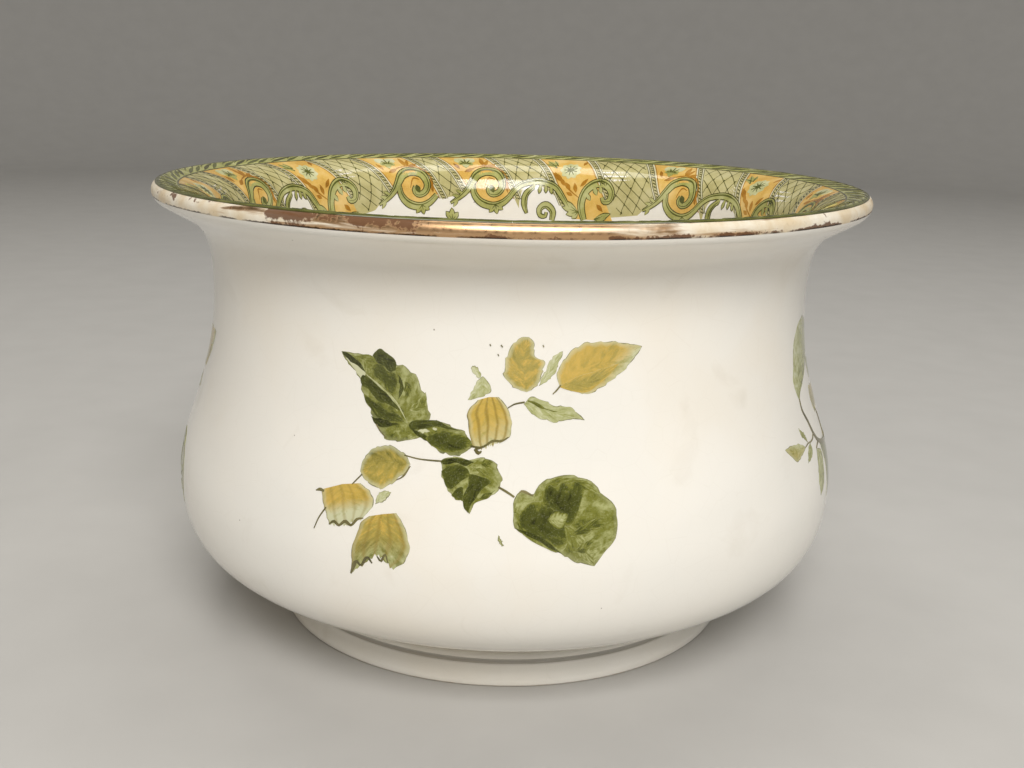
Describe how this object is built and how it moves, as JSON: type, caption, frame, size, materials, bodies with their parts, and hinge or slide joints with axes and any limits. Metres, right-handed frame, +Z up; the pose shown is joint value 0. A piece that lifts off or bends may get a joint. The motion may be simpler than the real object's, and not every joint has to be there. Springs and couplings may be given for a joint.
{
  "type": "chamber pot",
  "caption": "Round-bellied earthenware chamber pot with a flared rolled lip, turned foot ring and one strap handle, printed with leaf sprays and an inner border.",
  "frame": {"origin": "centre of the foot ring's resting face, on the ground", "axes": "+Z up along the pot's axis; the handle is on the +Y side, and the picture looks along +Y"},
  "size_m": [0.224, 0.2533, 0.1403],
  "materials": {
    "glazed_body": "clear lead glaze over cream earthenware, with worn gilding on the lip",
    "glazed_foot": "clear lead glaze, rubbed bare on the resting edge",
    "glazed_handle": "clear lead glaze over cream earthenware",
    "slip": "wiped clay slip under clear glaze",
    "green_print": "green transfer print under clear glaze",
    "ochre_enamel": "ochre hand-painted enamel over the print",
    "gilding": "worn fired gold"
  },
  "bodies": {
    "root": {"bowl": "glazed_body", "foot_ring": "glazed_foot", "foot_slip": "slip", "handle": "glazed_handle", "upper_handle_slip": "slip", "lower_handle_slip": "slip"}
  },
  "joints": []
}
